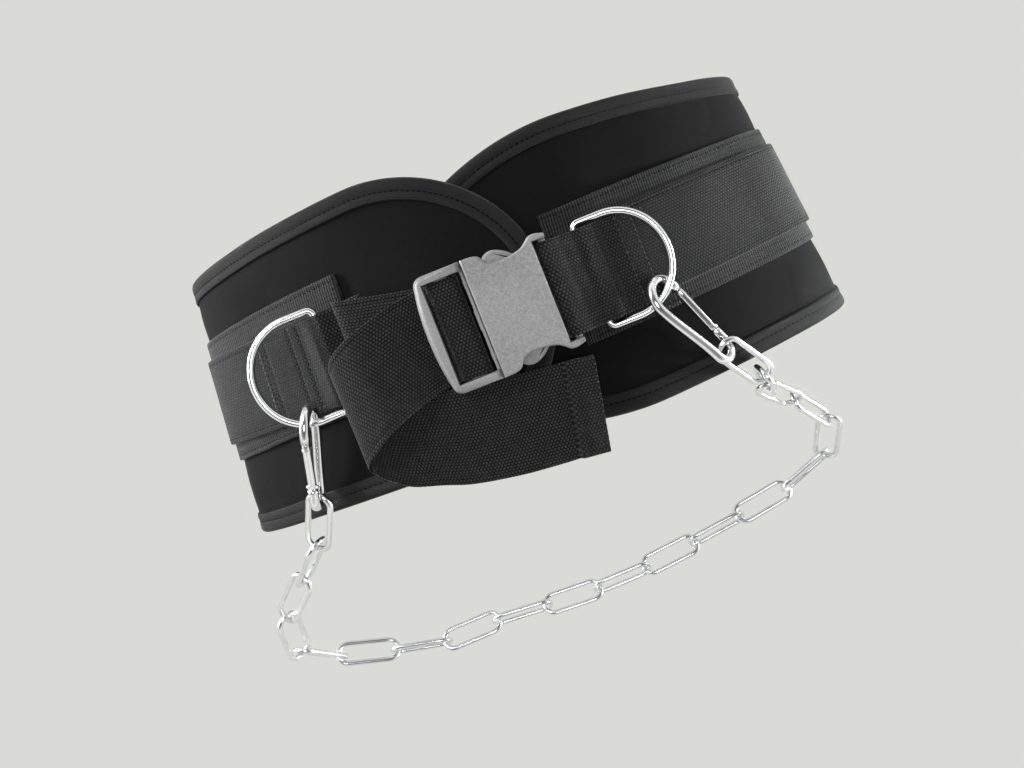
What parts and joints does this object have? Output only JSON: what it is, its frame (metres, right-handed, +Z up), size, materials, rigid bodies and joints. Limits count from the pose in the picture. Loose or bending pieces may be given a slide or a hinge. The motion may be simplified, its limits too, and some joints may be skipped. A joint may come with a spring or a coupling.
{
  "type": "dip belt",
  "caption": "Padded waist belt with webbing strap, side-release buckle, D-rings with snap hooks and a long link chain for hanging weights; it lies on its back.",
  "frame": {"origin": "on the floor under the middle of the whole outline, belt and chain", "axes": "+X along the belt's width, +Y towards the belt's upper edge, +Z up, out of the belt's front"},
  "size_m": [0.3872, 0.2884, 0.1459],
  "materials": {
    "neoprene": "matte jersey over closed-cell foam",
    "knit_tape": "matte knit",
    "webbing": "woven, slight sheen",
    "polished_steel": "polished",
    "zinc_chain": "bright zinc plate",
    "buckle_plastic": "satin"
  },
  "bodies": {
    "root": {"pad": "neoprene", "edge_binding": "knit_tape", "wide_band": "webbing", "belt_strap": "webbing", "left_ring_strap": "webbing", "left_d_ring": "polished_steel", "right_d_ring": "polished_steel", "buckle_socket": "buckle_plastic", "buckle_plug": "buckle_plastic", "buckle_loop": "webbing", "tail_strap": "webbing", "left_hook": "polished_steel", "right_hook": "polished_steel", "chain_link_01": "zinc_chain", "chain_link_02": "zinc_chain", "chain_link_03": "zinc_chain", "chain_link_04": "zinc_chain", "chain_link_05": "zinc_chain", "chain_link_06": "zinc_chain", "chain_link_07": "zinc_chain", "chain_link_08": "zinc_chain", "chain_link_09": "zinc_chain", "chain_link_10": "zinc_chain", "chain_link_11": "zinc_chain", "chain_link_12": "zinc_chain", "chain_link_13": "zinc_chain", "chain_link_14": "zinc_chain", "chain_link_15": "zinc_chain", "chain_link_16": "zinc_chain", "chain_link_17": "zinc_chain", "chain_link_18": "zinc_chain", "chain_link_19": "zinc_chain", "chain_link_20": "zinc_chain"},
    "left_gate": {"left_hook_gate": "polished_steel"},
    "right_gate": {"right_hook_gate": "polished_steel"}
  },
  "joints": [
    {"name": "left_gate_hinge", "type": "hinge", "parent": "root", "child": "left_gate", "pos_m": [-0.11503, 0.01139, 0.12348], "axis": [-0.934, 0.3572, 0], "range_deg": [0, 22], "stiffness_Nm_per_rad": 0.05, "springref_deg": -20.05},
    {"name": "right_gate_hinge", "type": "hinge", "parent": "root", "child": "right_gate", "pos_m": [0.1009, 0.011, 0.11968], "axis": [0.648, 0.1921, 0.737], "range_deg": [0, 22], "stiffness_Nm_per_rad": 0.05, "springref_deg": -20.05}
  ]
}
